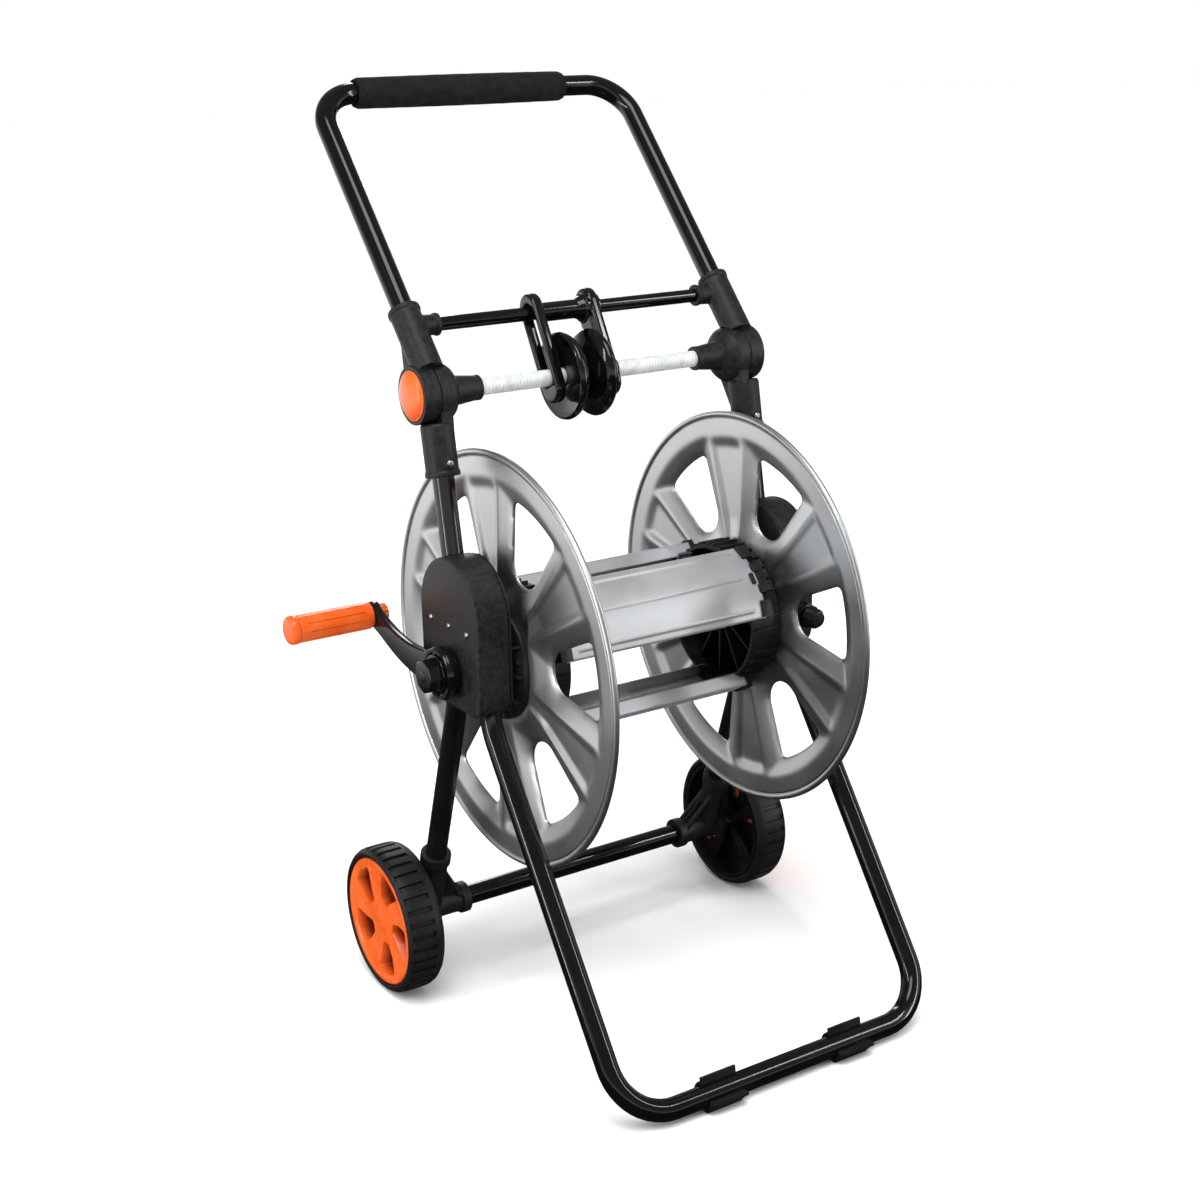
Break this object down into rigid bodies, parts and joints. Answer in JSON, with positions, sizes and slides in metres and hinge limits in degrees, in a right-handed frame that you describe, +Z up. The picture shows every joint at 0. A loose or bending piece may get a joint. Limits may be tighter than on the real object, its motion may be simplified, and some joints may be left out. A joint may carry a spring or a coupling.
{
  "type": "garden hose reel cart",
  "caption": "Wheeled hose reel cart with a folding U handle, stamped-steel reel, crank with turning grip, and a sliding hose guide.",
  "frame": {"origin": "on the ground, under the middle of the bounding box", "axes": "+Z up; +Y from the front base bar towards the wheels and handle; +X away from the crank"},
  "size_m": [0.5638, 0.59, 0.9475],
  "materials": {
    "gloss_paint": "gloss black powder coat",
    "satin_paint": "satin black powder coat",
    "silver_steel": "silver-painted pressed steel",
    "zinc_steel": "zinc-plated",
    "white_rod": "white-silver coated rod",
    "matt_plastic": "moulded, fine texture",
    "gloss_plastic": "moulded, polished",
    "orange_plastic": "moulded, semi-gloss orange",
    "rubber": "moulded rubber",
    "tyre_rubber": "moulded tread",
    "foam": "closed-cell foam"
  },
  "bodies": {
    "frame": {"front_frame_tube": "gloss_paint", "axle_tube": "gloss_paint", "axle_rod": "zinc_steel", "inlet_pipe": "matt_plastic", "inlet_connector": "matt_plastic", "guide_rod": "white_rod", "rear_leg_left": "satin_paint", "upper_post_left": "gloss_paint", "front_foot_left": "rubber", "wheel_bracket_left": "matt_plastic", "side_housing_left": "matt_plastic", "bearing_plate_left": "matt_plastic", "lower_socket_left": "matt_plastic", "lower_socket_screw_left": "zinc_steel", "housing_screw_left_1": "zinc_steel", "housing_screw_left_2": "zinc_steel", "housing_screw_left_3": "zinc_steel", "rear_leg_right": "satin_paint", "upper_post_right": "gloss_paint", "front_foot_right": "rubber", "wheel_bracket_right": "matt_plastic", "side_housing_right": "matt_plastic", "bearing_plate_right": "matt_plastic", "lower_socket_right": "matt_plastic", "lower_socket_screw_right": "zinc_steel", "housing_screw_right_1": "zinc_steel", "housing_screw_right_2": "zinc_steel", "housing_screw_right_3": "zinc_steel"},
    "reel": {"crank_shaft": "zinc_steel", "outlet_connector": "matt_plastic", "crank_arm": "gloss_plastic", "crank_knob": "gloss_plastic", "crank_pin": "zinc_steel", "crank_pin_cap": "orange_plastic", "drum_stave_1": "silver_steel", "drum_stave_2": "silver_steel", "drum_stave_3": "silver_steel", "flange_left": "silver_steel", "drum_end_left": "matt_plastic", "hub_left": "matt_plastic", "flange_right": "silver_steel", "drum_end_right": "matt_plastic", "hub_right": "matt_plastic"},
    "grip": {"crank_grip": "orange_plastic"},
    "handle": {"handle_tube": "gloss_paint", "foam_grip": "foam", "crossbar": "gloss_paint", "upper_socket_left": "matt_plastic", "upper_socket_screw_left": "zinc_steel", "upper_socket_right": "matt_plastic", "upper_socket_screw_right": "zinc_steel"},
    "guide": {"guide_arm_left": "gloss_plastic", "guide_arm_right": "gloss_plastic"},
    "roller": {"guide_roller": "gloss_plastic"},
    "wheel_left": {"tyre_left": "tyre_rubber", "wheel_rim_left": "orange_plastic"},
    "button_left": {"fold_button_left": "orange_plastic"},
    "wheel_right": {"tyre_right": "tyre_rubber", "wheel_rim_right": "orange_plastic"},
    "button_right": {"fold_button_right": "orange_plastic"}
  },
  "joints": [
    {"name": "reel_spin", "type": "hinge", "parent": "frame", "child": "reel", "pos_m": [0.03245, -0.00305, 0.3891], "axis": [1, 0, 0], "continuous": true},
    {"name": "grip_spin", "type": "hinge", "parent": "reel", "child": "grip", "pos_m": [-0.22755, 0.14395, 0.4115], "axis": [1, 0, 0], "continuous": true},
    {"name": "handle_fold", "type": "hinge", "parent": "frame", "child": "handle", "pos_m": [0.03245, 0.05525, 0.6548], "axis": [-1, 0, 0], "range_deg": [0, 110]},
    {"name": "guide_slide", "type": "slide", "parent": "handle", "child": "guide", "axis": [1, 0, 0], "range_m": [-0.075, 0.1]},
    {"name": "roller_spin", "type": "hinge", "parent": "guide", "child": "roller", "pos_m": [0.01995, 0.05525, 0.6548], "axis": [1, 0, 0], "continuous": true},
    {"name": "wheel_left_spin", "type": "hinge", "parent": "frame", "child": "wheel_left", "pos_m": [-0.19555, 0.10795, 0.08], "axis": [1, 0, 0], "continuous": true},
    {"name": "button_left_press", "type": "slide", "parent": "handle", "child": "button_left", "axis": [1, 0, 0], "range_m": [0, 0.004], "stiffness_N_per_m": 800},
    {"name": "wheel_right_spin", "type": "hinge", "parent": "frame", "child": "wheel_right", "pos_m": [0.26045, 0.10795, 0.08], "axis": [1, 0, 0], "continuous": true},
    {"name": "button_right_press", "type": "slide", "parent": "handle", "child": "button_right", "axis": [-1, 0, 0], "range_m": [0, 0.004], "stiffness_N_per_m": 800}
  ]
}
